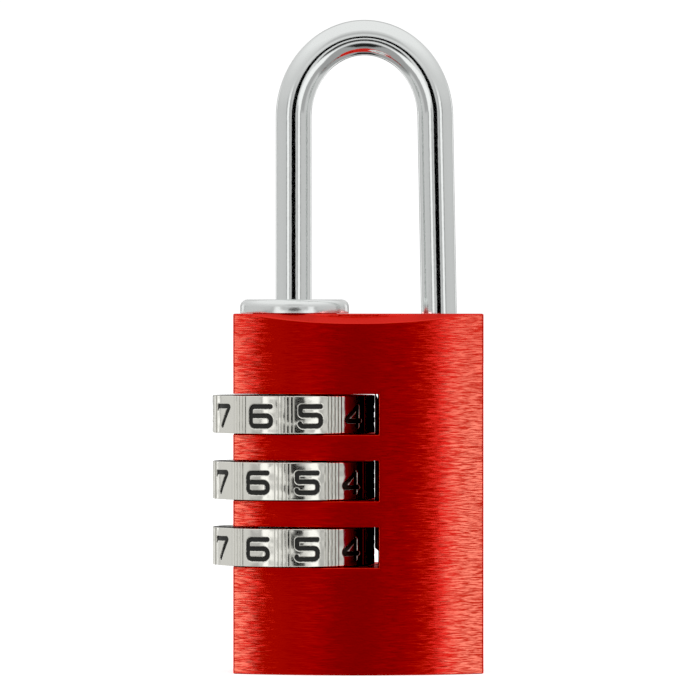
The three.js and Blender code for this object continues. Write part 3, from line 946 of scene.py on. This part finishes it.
def direction_world():
    """A light tent, much the same at front and back.

    Its panels follow the compass angle from the front or back and the height angle. A dark gap at eye height
    stands for the opening that the lens looks through.
    """
    world = bpy.data.worlds.new("light tent")
    bpy.context.scene.world = world
    world.use_nodes = True
    tree = world.node_tree
    tree.nodes.clear()
    direction = node(tree, "ShaderNodeTexCoord").outputs["Generated"]
    axes = node(tree, "ShaderNodeSeparateXYZ", {"Vector": direction})
    across = math_node(tree, "ABSOLUTE", axes.outputs["X"])
    forward = math_node(tree, "MULTIPLY", axes.outputs["Y"], -1.0)
    compass = degrees(tree, "ARCTAN2", across, math_node(tree, "ABSOLUTE", forward))
    from_front = degrees(tree, "ARCTAN2", across, forward)
    height = degrees(tree, "ARCSINE", axes.outputs["Z"])
    depth = math_node(tree, "MULTIPLY", height, -1.0)
    sides = grey_ramp(tree, compass, 90, (
        (0, 0.62), (17, 0.62), (24, 0.5), (28, 0.5), (31, 1.1), (41, 1.1), (44, 0.42), (47, 0.42),
        (51, 0.64), (90, 0.66)))
    front_upper = grey_ramp(tree, height, 90, (
        (0, 0.8), (15, 0.84), (21, 0.64), (28, 0.53), (35, 0.69), (42, 0.79), (48, 0.96), (90, 0.96)))
    side_upper = grey_ramp(tree, height, 90, (
        (0, 0.7), (20, 0.72), (30, 0.8), (48, 0.96), (90, 0.96)))
    upper = blend(tree, smooth_mask(tree, compass, 12, 26), front_upper, side_upper)
    lower = grey_ramp(tree, from_front, 180, (
        (0, 1.1), (42, 1.1), (47, 0.45), (66, 0.45), (76, 0.66), (146, 0.66), (154, 1.1), (180, 1.1)))
    lower = blend(tree, smooth_mask(tree, height, -31, -37), lower, (0.4, 0.4, 0.4, 1))
    front_lower = grey_ramp(tree, depth, 90, (
        (0, 0.75), (12, 0.79), (15, 0.02), (21, 0.03), (26, 0.5), (29, 0.87), (34, 0.8), (38, 0.4),
        (43, 0.03), (60, 0.03), (66, 0.3)))
    tent_upper = blend(tree, smooth_mask(tree, height, 5, 16), sides, upper)
    tent_lower = blend(tree, smooth_mask(tree, compass, 15, 24), front_lower, lower)
    tent = blend(tree, smooth_mask(tree, height, -0.6, -2.2), tent_upper, tent_lower)
    gap_half_width, gap_half_height, gap_middle = 13.5, 5.6, 0.6
    gap_across = math_node(tree, "POWER", math_node(tree, "DIVIDE", compass, gap_half_width), 2.0)
    above_gap = math_node(tree, "SUBTRACT", height, gap_middle)
    gap_up = math_node(tree, "POWER", math_node(tree, "DIVIDE", above_gap, gap_half_height), 2.0)
    outside_gap = smooth_mask(tree, math_node(tree, "ADD", gap_across, gap_up), 0.9, 1.1)
    seen = blend(tree, outside_gap, (0.01, 0.01, 0.01, 1), tent)
    to_object = node(tree, "ShaderNodeBackground", {"Color": seen, "Strength": 1.0})
    to_camera = node(tree, "ShaderNodeBackground", {"Color": (1, 1, 1, 1), "Strength": 1.05})
    is_camera = node(tree, "ShaderNodeLightPath").outputs["Is Camera Ray"]
    mixed = node(tree, "ShaderNodeMixShader", {
        0: is_camera, 1: to_object.outputs[0], 2: to_camera.outputs[0],
    })
    output = node(tree, "ShaderNodeOutputWorld")
    tree.links.new(mixed.outputs[0], output.inputs["Surface"])


def softbox(name, compass, width, power, lit):
    """A rectangular lamp at a compass angle from the front, aimed at the lock from a little below.

    It lights only the pieces in the given collection.
    """
    light = bpy.data.lights.new(name, "AREA")
    light.shape = "RECTANGLE"
    light.size = width
    light.size_y = SOFTBOX_TALL
    light.energy = power
    lamp = bpy.data.objects.new(name, light)
    bpy.context.scene.collection.objects.link(lamp)
    compass = math.radians(compass)
    height = math.radians(SOFTBOX_HEIGHT_ANGLE)
    flat = math.cos(height)
    direction = Vector((math.sin(compass) * flat, -math.cos(compass) * flat, math.sin(height)))
    offset = direction * SOFTBOX_DISTANCE
    target = Vector((0, 0, body_height / 2))
    lamp.location = target + offset
    lamp.rotation_euler = offset.to_track_quat("Z", "Y").to_euler()
    lamp.visible_camera = False
    lamp.light_linking.receiver_collection = lit


def floor_piece():
    """A pale floor that glows faintly to the lens only, and isn't seen in reflections."""
    corners = [[x * FLOOR_HALF_SIZE, y * FLOOR_HALF_SIZE, 0] for x, y in ((-1, -1), (1, -1), (1, 1), (-1, 1))]
    floor = new_piece("floor", corners, [[0, 1, 2, 3]])
    material, tree, shader = new_material("pale_floor")
    shader.inputs["Base Color"].default_value = (0.8, 0.8, 0.8, 1)
    shader.inputs["Roughness"].default_value = 1
    shader.inputs["Specular IOR Level"].default_value = 0
    shader.inputs["Emission Color"].default_value = (1, 1, 1, 1)
    is_camera = node(tree, "ShaderNodeLightPath").outputs["Is Camera Ray"]
    glow = math_node(tree, "MULTIPLY", is_camera, 0.6)
    tree.links.new(glow, shader.inputs["Emission Strength"])
    paint(floor, material)
    floor.visible_glossy = False
    floor.visible_shadow = False


def studio(lit):
    """Light tent, softboxes for the brushed faces at both sides of the front and back, and the floor.

    The softboxes light only the pieces in the collection lit.
    """
    direction_world()
    for side, turn in (("front", 0), ("back", 180)):
        softbox(f"{side} left softbox", turn - 62, 0.45, 2.3, lit)
        softbox(f"{side} right softbox", turn + 53, 0.55, 2.45, lit)
    floor_piece()


def camera():
    """A long lens at the height of the body's top, a little left of the lock's middle."""
    lens = bpy.data.cameras.new("camera")
    lens.lens = LENS_LENGTH
    lens.sensor_width = SENSOR_WIDTH
    lens.clip_start = 0.01
    eye = bpy.data.objects.new("camera", lens)
    bpy.context.scene.collection.objects.link(eye)
    eye.location = EYE
    eye.rotation_euler = (AIM - EYE).to_track_quat("-Z", "Y").to_euler()
    bpy.context.scene.camera = eye


# ---------------------------------------------------------------- assembly

brushed_pieces = bpy.data.collections.new("brushed pieces")
camera()
studio(brushed_pieces)
red = red_anodised()
chrome = chrome_plate("polished_chrome", 0.08)
satin_chrome = chrome_plate("satin_chrome", 0.19)
nickel = inked_nickel()
zinc = plain_metal("cast_zinc", (0.5, 0.5, 0.49), 0.42)
steel = plain_metal("blackened_spring_steel", (0.12, 0.115, 0.11), 0.35)

body = lock_body()
brushed_pieces.objects.link(body)
dress(body, red, "anodised_body", "case", "body")
dress(shackle_piece(), chrome, "polished_chrome", "shackle", "shackle")
dress(collar_piece(), satin_chrome, "polished_chrome", "case", "top_bushing")
dress(plug_piece("body_end_plug", plug_low, plug_high), red, "anodised_body", "case", "bottom_plug")
dress(plug_piece("detent_end_plug", detent_low, detent_high), red, "anodised_body", "case", "detent_plug")
for wheel_name in WHEELS:
    turn = WHEEL_TURN + (UPPER_WHEEL_PLAY if wheel_name == "upper" else 0)
    wheel = number_wheel(f"number_wheel_{wheel_name}", wheel_zs[wheel_name], turn)
    dress(wheel, nickel, "satin_nickel", f"dial_{wheel_name}", f"dial_{wheel_name}")

for node_name in ("locking_spindle", "sleeve_upper", "sleeve_middle", "sleeve_lower", "spring_washer"):
    paint(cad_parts[node_name], zinc)
dress(detent_strip(), steel, "spring_steel", "case", "detent_spring")
for node_name in ("spindle_pin", "return_spring"):
    paint(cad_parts[node_name], steel)

view = bpy.context.scene.view_settings
view.view_transform = "Standard"
view.look = "None"
view.use_curve_mapping = True
view.curve_mapping.black_level = (BLACK_LEVEL,) * 3
view.curve_mapping.update()
